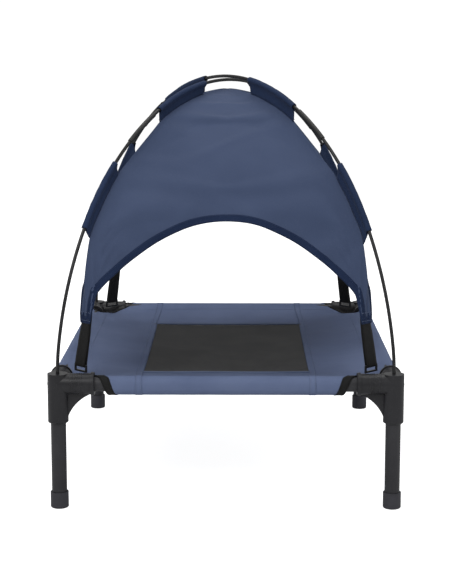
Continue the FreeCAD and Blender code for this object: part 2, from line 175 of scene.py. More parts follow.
def buildWeaveGroup():
    # plain weave on a flat pattern in metres: threads go over and under each other
    tree, given, out = newGroup("plainWeave", "ShaderNodeTree",
        [("Vector", "Vector", None), ("Threads", "Float", 1500.0), ("Slub", "Float", 0.25)],
        [("Height", "Float"), ("Tone", "Float")])
    split = add(tree, "ShaderNodeSeparateXYZ", {0: given["Vector"]}).outputs
    scale = mathNode(tree, "MULTIPLY", given["Threads"], math.pi)
    warp, weft = (mathNode(tree, "SINE", mathNode(tree, "MULTIPLY", split[axis], scale)) for axis in "XY")
    over = mathNode(tree, "MULTIPLY", warp, weft)
    ridges = mathNode(tree, "ADD", mathNode(tree, "ABSOLUTE", warp), mathNode(tree, "ABSOLUTE", weft))
    height = mathNode(tree, "MULTIPLY_ADD", over, 0.5, mathNode(tree, "MULTIPLY", ridges, 0.35))
    slub = noiseNode(tree, given["Vector"], 260.0, 2.0, 0.6)
    slubbed = mathNode(tree, "MULTIPLY_ADD", slub, given["Slub"], height)
    link(tree, slubbed, out["Height"])
    link(tree, rampNode(tree, slubbed, -0.3, 1.2), out["Tone"])
    return tree


def buildFadeGroup():
    # slow uneven colour, as dye and handling leave it, and fine lint
    tree, given, out = newGroup("handling", "ShaderNodeTree",
        [("Vector", "Vector", None), ("Patch", "Float", 7.0)], [("Fade", "Float"), ("Lint", "Float")])
    patches = noiseNode(tree, given["Vector"], given["Patch"], 3.0, 0.55)
    link(tree, rampNode(tree, patches, 0.3, 0.7), out["Fade"])
    link(tree, rampNode(tree, noiseNode(tree, given["Vector"], 900.0, 1.0, 0.4), 0.66, 0.74), out["Lint"])
    return tree


def buildEdgeGroup():
    # rounds hard edges in the shading and gives a mask of where they have been rubbed
    tree, given, out = newGroup("edgeWear", "ShaderNodeTree",
        [("Vector", "Vector", None), ("Radius", "Float", 0.0008), ("Grain", "Float", 500.0)],
        [("Normal", "Vector"), ("Wear", "Float"), ("Grain", "Float")])
    rounded = add(tree, "ShaderNodeBevel", {"Radius": given["Radius"]}, samples=4).outputs[0]
    plain = add(tree, "ShaderNodeNewGeometry").outputs["Normal"]
    dot = add(tree, "ShaderNodeVectorMath", {0: rounded, 1: plain}, operation="DOT_PRODUCT").outputs["Value"]
    rubbed = mathNode(tree, "MULTIPLY", rampNode(tree, mathNode(tree, "SUBTRACT", 1.0, dot), 0.02, 0.25),
                      rampNode(tree, noiseNode(tree, given["Vector"], 45.0, 3.0, 0.6), 0.35, 0.65))
    link(tree, rounded, out["Normal"])
    link(tree, rubbed, out["Wear"])
    link(tree, noiseNode(tree, given["Vector"], given["Grain"], 2.0, 0.6), out["Grain"])
    return tree


weaveGroup = buildWeaveGroup()
fadeGroup = buildFadeGroup()
edgeGroup = buildEdgeGroup()


def addGroup(tree, group, vector, **values):
    return add(tree, "ShaderNodeGroup", {"Vector": vector, **values}, node_tree=group).outputs


def newMaterial(name, values):
    material = bpy.data.materials.new(name)
    material.use_nodes = True
    tree, shader = material.node_tree, material.node_tree.nodes["Principled BSDF"]
    for socketName, value in values.items():
        feed(tree, shader.inputs[socketName], value)
    return material, tree, shader


def addBump(tree, shader, height, strength, distance, **normal):
    bump = add(tree, "ShaderNodeBump",
               {"Strength": strength, "Distance": distance, "Height": height, **normal})
    link(tree, bump.outputs[0], shader.inputs["Normal"])


clothSettings = ("dark", "light", "threads", "bump", "rough", "sheen", "slub")
clothKinds = {
    # the next three are one navy fabric in lit and shaded copies: the cover's lighter blue is painted light
    # shining through its single layer, and the darker navy of the sleeves and the hem is painted shade where
    # the cloth lies doubled
    "canopyBlueLitThrough": ((0.040, 0.058, 0.113), (0.056, 0.077, 0.142), 1700.0, 0.00012, 0.72, 0.05, 0.25),
    "sleeveNavyShaded": ((0.010, 0.020, 0.052), (0.020, 0.034, 0.080), 1700.0, 0.00012, 0.72, 0.04, 0.25),
    "hemNavyShaded": ((0.007, 0.015, 0.044), (0.014, 0.026, 0.066), 1700.0, 0.00012, 0.72, 0.04, 0.25),
    "bedBlue": ((0.078, 0.106, 0.196), (0.134, 0.170, 0.282), 1200.0, 0.00030, 0.72, 0.0, 0.60),
    "seamBlue": ((0.076, 0.102, 0.184), (0.126, 0.160, 0.262), 1200.0, 0.00018, 0.66, 0.04, 0.35),
    "webbing": ((0.006, 0.006, 0.006), (0.016, 0.016, 0.016), 620.0, 0.00035, 0.62, 0.03, 0.15),
    "thread": ((0.115, 0.145, 0.235), (0.180, 0.215, 0.320), 3000.0, 0.00006, 0.60, 0.0, 0.10),
    "navyThread": ((0.018, 0.030, 0.075), (0.034, 0.050, 0.110), 3000.0, 0.00006, 0.60, 0.0, 0.10),
    "blackThread": ((0.008, 0.008, 0.008), (0.022, 0.022, 0.022), 3000.0, 0.00006, 0.55, 0.0, 0.10),
}


def clothMaterial(name, s):
    material, tree, shader = newMaterial(name, {"Sheen Weight": s["sheen"], "Sheen Roughness": 0.45,
                                                "Specular IOR Level": 0.10})
    uv = add(tree, "ShaderNodeUVMap", uv_map="flat").outputs["UV"]
    place = add(tree, "ShaderNodeTexCoord").outputs["Object"]
    weave = addGroup(tree, weaveGroup, uv, Threads=s["threads"], Slub=s["slub"])
    fade = addGroup(tree, fadeGroup, place)
    tone = mathNode(tree, "MULTIPLY_ADD", fade["Fade"], 0.55, mathNode(tree, "MULTIPLY", weave["Tone"], 0.45))
    colour = mixColour(tree, tone, s["dark"], s["light"])
    lint = mathNode(tree, "MULTIPLY", fade["Lint"], 0.12)
    link(tree, mixColour(tree, lint, colour, (0.20, 0.22, 0.28)), shader.inputs["Base Color"])
    rough = mathNode(tree, "MULTIPLY_ADD", fade["Fade"], 0.10, s["rough"] - 0.05)
    link(tree, rough, shader.inputs["Roughness"])
    addBump(tree, shader, weave["Height"], 0.8, s["bump"])
    return material


setCamera(cameraSettings)
buildStage(stageSettings)
print("camera and light ready")

cloths = {name: clothMaterial(name, dict(zip(clothSettings, values))) for name, values in clothKinds.items()}

hardSettings = ("dark", "light", "worn", "rough", "grain", "depth", "radius", "metal")
hardKinds = {
    "coatedSteel": ((0.020, 0.020, 0.023), (0.030, 0.030, 0.034), (0.10, 0.10, 0.11),
                    0.42, 900.0, 0.00010, 0.0005, 0.0),
    "connectorPlastic": ((0.011, 0.011, 0.013), (0.018, 0.018, 0.021), (0.20, 0.20, 0.22),
                         0.36, 1500.0, 0.00008, 0.0005, 0.0),
    "footPlastic": ((0.030, 0.030, 0.036), (0.046, 0.046, 0.055), (0.12, 0.12, 0.13),
                    0.55, 1100.0, 0.00012, 0.0009, 0.0),
    "ringPlastic": ((0.012, 0.012, 0.013), (0.020, 0.020, 0.022), (0.10, 0.10, 0.11),
                    0.30, 1400.0, 0.00004, 0.0009, 0.0),
    "poleRod": ((0.010, 0.010, 0.011), (0.020, 0.020, 0.021), (0.09, 0.09, 0.09),
                0.30, 600.0, 0.00005, 0.0003, 0.0),
    "ferruleMetal": ((0.022, 0.022, 0.022), (0.036, 0.036, 0.035), (0.20, 0.20, 0.19),
                     0.38, 1200.0, 0.00004, 0.0003, 0.3),
    "meshYarn": ((0.012, 0.012, 0.012), (0.030, 0.030, 0.030), (0.06, 0.06, 0.06),
                 0.50, 1800.0, 0.00004, 0.0002, 0.0),
    "elasticCord": ((0.010, 0.010, 0.010), (0.040, 0.040, 0.040), (0.08, 0.08, 0.08),
                    0.80, 2200.0, 0.00010, 0.0002, 0.0),
}


def hardMaterial(name, s):
    material, tree, shader = newMaterial(name, {"Metallic": s["metal"], "Specular IOR Level": 0.28})
    place = add(tree, "ShaderNodeTexCoord").outputs["Object"]
    edge = addGroup(tree, edgeGroup, place, Radius=s["radius"], Grain=s["grain"])
    fade = addGroup(tree, fadeGroup, place, Patch=14.0)
    colour = mixColour(tree, fade["Fade"], s["dark"], s["light"])
    worn = mixColour(tree, mathNode(tree, "MULTIPLY", edge["Wear"], 0.45), colour, s["worn"])
    dusty = mixColour(tree, mathNode(tree, "MULTIPLY", fade["Lint"], 0.12), worn, (0.2, 0.2, 0.2))
    link(tree, dusty, shader.inputs["Base Color"])
    rough = mathNode(tree, "MULTIPLY_ADD", fade["Fade"], 0.10, s["rough"] - 0.05)
    link(tree, mathNode(tree, "MULTIPLY_ADD", edge["Grain"], 0.08, rough), shader.inputs["Roughness"])
    addBump(tree, shader, edge["Grain"], 0.7, s["depth"], Normal=edge["Normal"])
    return material


hards = {name: hardMaterial(name, dict(zip(hardSettings, values))) for name, values in hardKinds.items()}

finishes = {
    "leg_tube": "coatedSteel", "rail": "coatedSteel", "foot_cap": "footPlastic",
    "corner_connector": "connectorPlastic", "strap_ring": "ringPlastic", "pole_ferrules": "ferruleMetal",
    "pole_tips": "ferruleMetal", "shock_cords": "elasticCord",
}


def finishFrame():
    for name, part in nodes.items():
        kind = next((finish for start, finish in finishes.items() if name.startswith(start)), None)
        if kind is None and name.endswith("_rod"):
            kind = "poleRod"
        if kind is None:
            continue
        part.data.materials.clear()
        part.data.materials.append(hards[kind])


finishFrame()
print("frame finished")


# meshes

def newPiece(name, points, faces, material, flat=None, faceFlat=None, smooth=True):
    # flat is the pattern by point, faceFlat the pattern by corner of each face
    mesh = bpy.data.meshes.new(name)
    mesh.from_pydata([tuple(p) for p in points], [], faces)
    layer = mesh.uv_layers.new(name="flat")
    if faceFlat is not None:
        for face, corners in zip(mesh.polygons, faceFlat):
            for loop, uv in zip(face.loop_indices, corners):
                layer.data[loop].uv = uv
    elif flat is not None:
        for loop in mesh.loops:
            layer.data[loop.index].uv = flat[loop.vertex_index]
    mesh.materials.append(material)
    mesh.shade_smooth() if smooth else mesh.shade_flat()
    piece = bpy.data.objects.new(name, mesh)
    bpy.context.scene.collection.objects.link(piece)
    return piece


def gridFaces(rows, columns, start=0, closed=False):
    faces = []
    for i in range(rows - 1):
        for j in range(columns if closed else columns - 1):
            k = (j + 1) % columns
            a = start + i * columns
            faces.append((a + j, a + k, a + columns + k, a + columns + j))
    return faces


def applyModifiers(piece):
    evaluated = piece.evaluated_get(bpy.context.evaluated_depsgraph_get())
    mesh = bpy.data.meshes.new_from_object(evaluated)
    old = piece.data
    piece.modifiers.clear()
    piece.data = mesh
    bpy.data.meshes.remove(old)
    mesh.name = piece.name
    return piece


def thicken(piece, thickness, offset=-1.0):
    wall = piece.modifiers.new("wall", "SOLIDIFY")
    wall.thickness = thickness
    wall.offset = offset
    wall.use_even_offset = False
    return applyModifiers(piece)


def weld(piece, distance=0.05 * mm):
    work = bmesh.new()
    work.from_mesh(piece.data)
    bmesh.ops.remove_doubles(work, verts=work.verts, dist=distance)
    bmesh.ops.recalc_face_normals(work, faces=work.faces)
    work.to_mesh(piece.data)
    work.free()
    return piece


def seat(piece, body, slot, *replaced):
    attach(piece, body)
    if replaced:
        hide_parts(*replaced)
    return piece


def smoothStep(low, high, value):
    t = min(max((value - low) / (high - low), 0.0), 1.0)
    return t * t * (3 - 2 * t)


def ripple(x, y, z, size):
    # smooth unevenness, about -1 to 1, that repeats every run
    return noise.noise(Vector((x, y, z)) / size)


def flatArea(piece):
    # area of the cloth laid flat, from its pattern
    layer = piece.data.uv_layers["flat"].data
    total = 0.0
    for face in piece.data.polygons:
        uv = [layer[i].uv for i in face.loop_indices]
        total += abs(sum(a.x * b.y - b.x * a.y for a, b in zip(uv, uv[1:] + uv[:1]))) / 2
    return total


# bed cloth

bed = {
    "cloth": 1.0 * mm, "gap": 0.4 * mm, "slack": 4.3 * mm, "sag": 27 * mm, "cornerSag": 12 * mm,
    "cut": 64 * mm, "band": 16 * mm, "slant": 0.46, "slantRun": 60 * mm, "seamInset": 32 * mm,
    "meshHalf": 147.2 * mm, "meshEnd": 131.5 * mm, "seamStrip": 12 * mm, "stripShift": 6 * mm,
    "hem": 12 * mm, "pucker": 0.5 * mm, "stitchInsets": (2 * mm, 10 * mm),
}
bed["meshLength"] = halfLength - bed["meshEnd"]
bed["top"] = railHeight + tubeRadius + bed["gap"] + bed["cloth"]


def bedHeight(s, x, y):
    # the slung cloth drops off the rails, is nearly flat in the middle and hangs lower at its cut corners
    u, v = min(abs(x) / halfWidth, 1.0), min(abs(y) / halfLength, 1.0)
    dip = s["sag"] * (1 - u ** 4) * (1 - v ** 4)
    inX, inY = halfWidth - abs(x), halfLength - abs(y)
    fromLeg = max(inX + inY, 1 * mm)
    beyond = max(fromLeg - s["cut"], 0)
    corner = s["cornerSag"] * 4 * inX * inY / fromLeg ** 2 * math.exp(-beyond / (70 * mm))
    edge = min(inX, inY)
    pull = 0.8 * mm * ripple(x * 0.6, y * 1.6, 0.3, 60 * mm) * smoothStep(0, 40 * mm, edge)
    # tension folds fan out from each cut corner
    fan = math.atan2(inY + 25 * mm, inX + 25 * mm)
    folds = 1.5 * mm * math.sin(fan * 14 + 2 * ripple(x, y, 0, 300 * mm)) * math.exp(-beyond / (130 * mm))
    return s["top"] - dip - corner + pull + folds * smoothStep(5 * mm, 45 * mm, edge)


def sleeveLoop(s):
    # cross-section of a rail sleeve as (outward, up, run): over the rail, down its outside and under it
    radius = tubeRadius + s["gap"] + s["cloth"]
    loop = [(0.0, railHeight + radius)]
    steps = 8
    for i in range(1, steps + 1):
        angle = math.pi / 2 * i / steps
        loop.append((radius * math.sin(angle), railHeight + radius * math.cos(angle)))
    for i in range(steps + 3):
        angle = math.pi / 2 * i / steps
        loop.append((radius * math.cos(angle), railHeight - s["slack"] - radius * math.sin(angle)))
    runs = [0.0]
    for a, b in zip(loop, loop[1:]):
        runs.append(runs[-1] + math.dist(a, b))
    return [(out, up, run) for (out, up), run in zip(loop, runs)]


bed["loop"] = sleeveLoop(bed)
bed["loopRun"] = bed["loop"][-1][2]
bed["wrap"] = bed["loopRun"] + math.hypot(bed["seamInset"], 25 * mm)


def sleeveSpot(s, along, sign, run, crosswise):
    half = halfLength if crosswise else halfWidth
    if run <= s["loopRun"]:
        place = next(i for i, step in enumerate(s["loop"]) if step[2] >= run - 1e-9)
        a, b = s["loop"][max(place - 1, 0)], s["loop"][place]
        share = (run - a[2]) / (b[2] - a[2]) if b[2] > a[2] else 0.0
        out, up = a[0] + (b[0] - a[0]) * share, a[1] + (b[1] - a[1]) * share
    else:
        # back up to the seam under the slung cloth
        share = (run - s["loopRun"]) / (s["wrap"] - s["loopRun"])
        inset = half - s["seamInset"]
        seam = bedHeight(s, along, inset) if crosswise else bedHeight(s, inset, along)
        last = s["loop"][-1]
        out = last[0] + (-s["seamInset"] - last[0]) * share
        up = last[1] + (seam - 1.4 * s["cloth"] - last[1]) * share
    pucker = s["pucker"] * ripple(along, run * 2, sign * 3.1 + crosswise, 24 * mm)
    pucker *= smoothStep(0, 25 * mm, run) * (1 - smoothStep(s["loopRun"], s["wrap"], run))
    across = half + out + pucker
    spot = (along, sign * across, up) if crosswise else (sign * across, along, up)
    return Vector(spot)


def bedSpot(s, x, y, lift=0.0):
    # a spot of the flat pattern laid on the bed; past a rail's axis it goes round the rail
    if abs(y) > halfLength:
        spot = sleeveSpot(s, x, math.copysign(1, y), abs(y) - halfLength, True)
    elif abs(x) > halfWidth:
        spot = sleeveSpot(s, y, math.copysign(1, x), abs(x) - halfWidth, False)
    else:
        spot = Vector((x, y, bedHeight(s, x, y)))
    if lift:
        step = 0.2 * mm
        overX = bedSpot(s, x + step, y) - bedSpot(s, x - step, y)
        overY = bedSpot(s, x, y + step) - bedSpot(s, x, y - step)
        spot += overX.cross(overY).normalized() * lift
    return spot


def spread(stops, counts):
    # values through the stops, each stretch split evenly
    values = [stops[0]]
    for low, high, count in zip(stops, stops[1:], counts):
        values += [low + (high - low) * (i + 1) / count for i in range(count)]
    return values


def mirrored(half, middle):
    return [-v for v in reversed(half)] + spread([-half[0], half[0]], [middle])[1:-1] + half


def sleeveCut(s, run):
    # a sleeve gets shorter as it goes round, because its ends are cut on the slant
    return 5 * mm * smoothStep(0, 9 * mm, run) + 0.9 * s["slant"] * min(run, s["slantRun"])


def sleeveShare(s, half, run):
    return (half - s["cut"] - sleeveCut(s, run)) / (half - s["cut"])


def buildBedCloth(s):
    inner = halfWidth - s["cut"]
    columns = mirrored(spread([s["meshHalf"], inner, halfWidth], [8, 10]), 28)
    points, flat, faces = [], [], []
    rowSets = []
    for x in columns:
        last = halfLength - max(abs(x) - inner, 0.0)
        rowSets.append(mirrored(spread([s["meshLength"], last], [20]), 36))
    rows = len(rowSets[0])
    for x, ys in zip(columns, rowSets):
        for y in ys:
            points.append(bedSpot(s, x, y))
            flat.append((x, y))
    for i in range(len(columns) - 1):
        for j in range(rows - 1):
            middleX = (columns[i] + columns[i + 1]) / 2
            middleY = (rowSets[i][j] + rowSets[i][j + 1]) / 2
            if abs(middleX) > s["meshHalf"] or abs(middleY) > s["meshLength"]:
                a = i * rows + j
                faces.append((a, a + rows, a + rows + 1, a + 1))
    runs = [step[2] for step in s["loop"]] + spread([s["loopRun"], s["wrap"]], [6])[1:]
    for sign in (-1, 1):
        for crosswise in (True, False):
            half = halfWidth if crosswise else halfLength
            ends = [v for v in columns if abs(v) < inner + 0.1 * mm] if crosswise else rowSets[-1]
            past = halfLength if crosswise else halfWidth
            start = len(points)
            for run in runs:
                share = sleeveShare(s, half, run)
                for v in ends:
                    spot = (v * share, sign * (past + run)) if crosswise else (sign * (past + run), v * share)
                    points.append(bedSpot(s, *spot))
                    flat.append(spot)
            grid = gridFaces(len(runs), len(ends), start)
            # wind each sleeve the same way as the top
            keep = (sign < 0) == crosswise
            faces += [face if not keep else tuple(reversed(face)) for face in grid]
    piece = newPiece("bed_cloth", points, faces, cloths["bedBlue"], flat)
    weld(piece)
    area = flatArea(piece)
    thicken(piece, s["cloth"])
    replaced = ["bed_sleeve_" + side for side in sideNames] + ["end_panel_front", "end_panel_rear"]
    return seat(piece, "frame", "bed_cloth", *replaced, "side_panel_left", "side_panel_right"), area


def ribbonOn(name, lines, material, thickness, offset=0.0):
    # lines of points across, from one edge of the ribbon to the other
    across = len(lines[0])
    flat, run = [], 0.0
    for i, line in enumerate(lines):
        run += (line[0] - lines[i - 1][0]).length if i else 0.0
        step = 0.0
        for j, p in enumerate(line):
            step += (p - line[j - 1]).length if j else 0.0
            flat.append((step, run))
    points = [p for line in lines for p in line]
    piece = newPiece(name, points, gridFaces(len(lines), across), material, flat)
    return thicken(piece, thickness, offset)


def stripOnBed(s, pairs, lift, across=4):
    # ribbon lines between pairs of flat spots
    lines = []
    for a, b in pairs:
        spots = [(a[0] + (b[0] - a[0]) * i / across, a[1] + (b[1] - a[1]) * i / across)
                 for i in range(across + 1)]
        lines.append([bedSpot(s, x, y, lift) for x, y in spots])
    return lines


def seamEdges(s, y):
    # the seam strip lies beside the mesh and straddles the seam on the sleeves
    shift = s["stripShift"] * smoothStep(s["meshLength"], halfLength, abs(y))
    return s["meshHalf"] - shift, s["meshHalf"] - shift + s["seamStrip"]


def buildBedSeams(s):
    pieces, rows = [], []
    last = halfLength + s["wrap"] - 4 * mm
    for side, sign in (("left", -1), ("right", 1)):
        ys = spread([-last, -halfLength, halfLength, last], [24, 110, 24])
        pairs = [tuple((sign * edge, y) for edge in seamEdges(s, y)) for y in ys]
        strip = ribbonOn("bed_seam_" + side, stripOnBed(s, pairs, 0.30 * mm), cloths["bedBlue"], 0.5 * mm)
        pieces.append(strip)
        for inset in s["stitchInsets"]:
            rows.append([bedSpot(s, sign * (seamEdges(s, y)[0] + inset), y, 0.75 * mm) for y in ys])
    for end, sign in (("front", -1), ("rear", 1)):
        xs = spread([-s["meshHalf"], s["meshHalf"]], [60])
        near, far = sign * s["meshLength"], sign * (s["meshLength"] + s["hem"])
        pairs = [((x, near), (x, far)) for x in xs]
        strip = ribbonOn("mesh_hem_" + end, stripOnBed(s, pairs, 0.9 * mm), cloths["seamBlue"], 1.2 * mm)
        pieces.append(strip)
        for inset in s["stitchInsets"]:
            y = sign * (s["meshLength"] + inset)
            rows.append([bedSpot(s, x, y, 1.65 * mm) for x in xs])
    # the sleeves' own seams show as one row of stitches inside each rail
    for sign in (-1, 1):
        inset = s["seamInset"] - 3 * mm
        xs = spread([-halfWidth + s["cut"], halfWidth - s["cut"]], [60])
        rows.append([bedSpot(s, x, sign * (halfLength - inset), 0.3 * mm) for x in xs])
        ys = spread([-halfLength + s["cut"], halfLength - s["cut"]], [80])
        rows.append([bedSpot(s, sign * (halfWidth - inset), y, 0.3 * mm) for y in ys])
    return [seat(piece, "frame", "bed_cloth") for piece in pieces], rows


def buildCornerBand(s, corner, sides):
    # webbing bound over the cut edge: up one sleeve's end, across the corner and down the other's
    sx, sy = sides
    cut, wide = s["cut"], s["cut"] + s["band"]
    pairs = []
    downRuns = spread([s["wrap"] - 6 * mm, 0.0], [30])

    def sleevePair(run, crosswise):
        outer = cut - 1 * mm + sleeveCut(s, run)
        inner = outer + s["band"] * (1 - 0.12 * smoothStep(0, 40 * mm, run))
        if crosswise:
            return tuple((sx * (halfWidth - d), sy * (halfLength + run)) for d in (outer, inner))
        return tuple((sx * (halfWidth + run), sy * (halfLength - d)) for d in (outer, inner))

    pairs += [sleevePair(run, True) for run in downRuns]
    for t in spread([0.0, 1.0], [24])[1:-1]:
        pairs.append(tuple((sx * (halfWidth - d * (1 - t)), sy * (halfLength - d * t))
                           for d in (cut - 1 * mm, wide)))
    pairs += [sleevePair(run, False) for run in reversed(downRuns)]
    lines = stripOnBed(s, pairs, -0.5 * s["cloth"])
    if sx * sy > 0:
        lines = [list(reversed(line)) for line in lines]
    piece = ribbonOn("corner_webbing_" + corner, lines, cloths["webbing"], 2.4 * mm)
    seat(piece, "frame", "webbing", "corner_band_" + corner)
    rows = []
    for share in (0.12, 0.88):
        rows.append([bedSpot(s, a[0] + (b[0] - a[0]) * share, a[1] + (b[1] - a[1]) * share, 0.85 * mm)
                     for a, b in pairs])
    return piece, rows


def finishTree(tree, geometry, given, out):
    real = add(tree, "GeometryNodeRealizeInstances", {"Geometry": geometry}).outputs[0]
    paint = add(tree, "GeometryNodeSetMaterial", {"Geometry": real, "Material": given["Material"]})
    link(tree, paint.outputs["Geometry"], out["Geometry"])
    return tree


def runTree(piece, tree, values):
    # set the inputs by identifier, evaluate once and keep the result as a plain mesh
    modifier = piece.modifiers.new(tree.name, "NODES")
    modifier.node_group = tree
    for item in tree.interface.items_tree:
        if item.item_type == "SOCKET" and item.in_out == "INPUT" and item.name in values:
            modifier[item.identifier] = values[item.name]
    bpy.context.view_layer.update()
    return applyModifiers(piece)


def buildStitchTree():
    # short rounded threads laid end to end along every line
    tree, given, out = newGroup("stitchRow", "GeometryNodeTree",
        [("Geometry", "Geometry", None), ("Pitch", "Float", None), ("Length", "Float", None),
         ("Thread", "Float", None), ("Material", "Material", None)], [("Geometry", "Geometry")])
    curve = add(tree, "GeometryNodeMeshToCurve", {"Mesh": given["Geometry"]}).outputs["Curve"]
    spaced = add(tree, "GeometryNodeCurveToPoints", {"Curve": curve, "Length": given["Pitch"]}, mode="LENGTH")
    ball = add(tree, "GeometryNodeMeshUVSphere", {"Segments": 5, "Rings": 4, "Radius": 0.5})
    thread = given["Thread"]
    size = add(tree, "ShaderNodeCombineXYZ", {"X": thread, "Y": thread, "Z": given["Length"]})
    place = add(tree, "GeometryNodeInstanceOnPoints", {
        "Points": spaced.outputs["Points"], "Instance": ball.outputs["Mesh"],
        "Rotation": spaced.outputs["Rotation"], "Scale": size.outputs["Vector"]})
    return finishTree(tree, place.outputs["Instances"], given, out)


stitchTree = buildStitchTree()
stitchSizes = {"Pitch": 4.2 * mm, "Length": 3.3 * mm, "Thread": 0.95 * mm}


def sewRows(name, rows, material, body, slot, sizes=stitchSizes):
    points, edges = [], []
    for row in rows:
        start = len(points)
        points += [tuple(p) for p in row]
        edges += [(start + i, start + i + 1) for i in range(len(row) - 1)]
    mesh = bpy.data.meshes.new(name)
    mesh.from_pydata(points, edges, [])
    piece = bpy.data.objects.new(name, mesh)
    bpy.context.scene.collection.objects.link(piece)
    runTree(piece, stitchTree, {**sizes, "Material": material})
    piece.data.shade_smooth()
    return seat(piece, body, slot)


meshCloth = {"pitch": 2.0 * mm, "strand": 1.1 * mm, "thick": 0.30 * mm, "overlap": 5 * mm, "drop": 0.9 * mm}


def buildMeshTree():
    # yarns run both ways across a panel and follow its sag
    sizes = ("HalfX", "HalfY", "Pitch", "Strand", "Thick", "SpanX", "SpanY", "Top", "Sag")
    tree, given, out = newGroup("openMesh", "GeometryNodeTree",
        [("Geometry", "Geometry", None)] + [(name, "Float", None) for name in sizes]
        + [("Material", "Material", None)], [("Geometry", "Geometry")])
    section = add(tree, "GeometryNodeCurvePrimitiveQuadrilateral",
                  {"Width": given["Strand"], "Height": given["Thick"]}).outputs["Curve"]
    join = add(tree, "GeometryNodeJoinGeometry")
    for axis, other, segments, above in (("Y", "X", 30, 0.3), ("X", "Y", 22, -0.3)):
        reach, side = given["Half" + axis], given["Half" + other]

        def onAxis(name, value):
            return add(tree, "ShaderNodeCombineXYZ", {name: value}).outputs[0]

        yarn = add(tree, "GeometryNodeCurvePrimitiveLine", {
            "Start": onAxis(axis, mathNode(tree, "MULTIPLY", reach, -1.0)), "End": onAxis(axis, reach)})
        fine = add(tree, "GeometryNodeResampleCurve", {"Curve": yarn.outputs["Curve"], "Count": segments})
        acrossAll = mathNode(tree, "MULTIPLY", side, 2.0)
        row = add(tree, "GeometryNodeMeshLine", {
            "Count": mathNode(tree, "FLOOR", mathNode(tree, "DIVIDE", acrossAll, given["Pitch"])),
            "Start Location": onAxis(other, mathNode(tree, "MULTIPLY", side, -1.0)),
            "Offset": onAxis(other, given["Pitch"])}, mode="OFFSET")
        copies = add(tree, "GeometryNodeInstanceOnPoints",
                     {"Points": row.outputs["Mesh"], "Instance": fine.outputs["Curve"]})
        real = add(tree, "GeometryNodeRealizeInstances", {"Geometry": copies.outputs["Instances"]}).outputs[0]
        # height of the panel: top - sag (1 - u^4)(1 - v^4), warp a little above weft
        spot = add(tree, "GeometryNodeInputPosition").outputs[0]
        split = add(tree, "ShaderNodeSeparateXYZ", {0: spot}).outputs
        shares = []
        for part in "XY":
            ratio = mathNode(tree, "ABSOLUTE", mathNode(tree, "DIVIDE", split[part], given["Span" + part]))
            shares.append(mathNode(tree, "SUBTRACT", 1.0, mathNode(tree, "POWER", ratio, 4.0)))
        dip = mathNode(tree, "MULTIPLY", mathNode(tree, "MULTIPLY", *shares), given["Sag"])
        height = mathNode(tree, "SUBTRACT", given["Top"], dip)
        lift = mathNode(tree, "MULTIPLY_ADD", given["Thick"], above, height)
        move = add(tree, "GeometryNodeSetPosition", {"Geometry": real, "Offset": onAxis("Z", lift)})
        # lie flat: the section's width stays level
        level = add(tree, "GeometryNodeSetCurveNormal", {"Curve": move.outputs["Geometry"]}, mode="Z_UP")
        strand = add(tree, "GeometryNodeCurveToMesh", {
            "Curve": level.outputs["Curve"], "Profile Curve": section, "Fill Caps": True})
        link(tree, strand.outputs["Mesh"], join.inputs[0])
    return finishTree(tree, join.outputs[0], given, out)


def buildMesh(s, m):
    mesh = bpy.data.meshes.new("mesh_cloth")
    piece = bpy.data.objects.new("mesh_cloth", mesh)
    bpy.context.scene.collection.objects.link(piece)
    runTree(piece, buildMeshTree(), {
        "HalfX": s["meshHalf"] + m["overlap"], "HalfY": s["meshLength"] + m["overlap"], "Pitch": m["pitch"],
        "Strand": m["strand"], "Thick": m["thick"], "SpanX": halfWidth, "SpanY": halfLength,
        "Top": s["top"] - m["drop"], "Sag": s["sag"], "Material": hards["meshYarn"]})
    return seat(piece, "frame", "black_mesh", "mesh_panel")


bedCloth, bedArea = buildBedCloth(bed)
bedSeams, seamRows = buildBedSeams(bed)
bands, bandRows = [], []
for corner, sides in corners.items():
    band, rows = buildCornerBand(bed, corner, sides)
    bands.append(band)
    bandRows += rows
bedStitches = sewRows("bed_stitches", seamRows, cloths["thread"], "frame", "bed_cloth")
bandStitches = sewRows("webbing_stitches", bandRows, cloths["blackThread"], "frame", "webbing")
openMesh = buildMesh(bed, meshCloth)


# canopy poles, as the lines that the sleeves and the cover follow

poleShape = {"turns": (8.9, 21.5, 32.1, 27.5), "footBend": 0.300, "shoulder": 0.492}


def poleArcs(s, crown):
    # four tangent arcs from the socket to the crown; the second and fourth radii make them meet it level
    turned, shares = 0.0, []
    for turn in s["turns"]:
        end = turned + math.radians(turn)
        shares.append((math.cos(turned) - math.cos(end), math.sin(end) - math.sin(turned)))
        turned = end
    inward = halfDiagonal - s["footBend"] * shares[0][0] - s["shoulder"] * shares[2][0]
    upward = crown - socketTop - s["footBend"] * shares[0][1] - s["shoulder"] * shares[2][1]
    cross = shares[1][0] * shares[3][1] - shares[3][0] * shares[1][1]
    radii = (s["footBend"], (inward * shares[3][1] - shares[3][0] * upward) / cross,
             s["shoulder"], (shares[1][0] * upward - inward * shares[1][1]) / cross)
    arcs, reach, height, turned = [], halfDiagonal, socketTop, 0.0
    for radius, turn, (inShare, upShare) in zip(radii, s["turns"], shares):
        arcs.append((radius, turned, math.radians(turn), reach, height))
        reach -= radius * inShare
        height += radius * upShare
        turned += math.radians(turn)
    return arcs


def poleProfile(arcs, place):
    # distance from the middle, height and the direction into the dome, at a place measured from the crown
    run = sum(arc[0] * arc[2] for arc in arcs) - abs(place)
    for radius, turned, angle, reach, height in arcs:
        if run <= radius * angle + 1e-9:
            now = turned + max(run, 0.0) / radius
            out = reach - radius * (math.cos(turned) - math.cos(now))
            return out, height + radius * (math.sin(now) - math.sin(turned)), math.cos(now), math.sin(now)
        run -= radius * angle
    return 0.0, arcs[-1][4], 0.0, 1.0


poles = {"lower": (poleArcs(poleShape, lowerCrown), 1), "upper": (poleArcs(poleShape, upperCrown), -1)}


# canopy cover: one sheet, sewn to the pole sleeves along its ridges

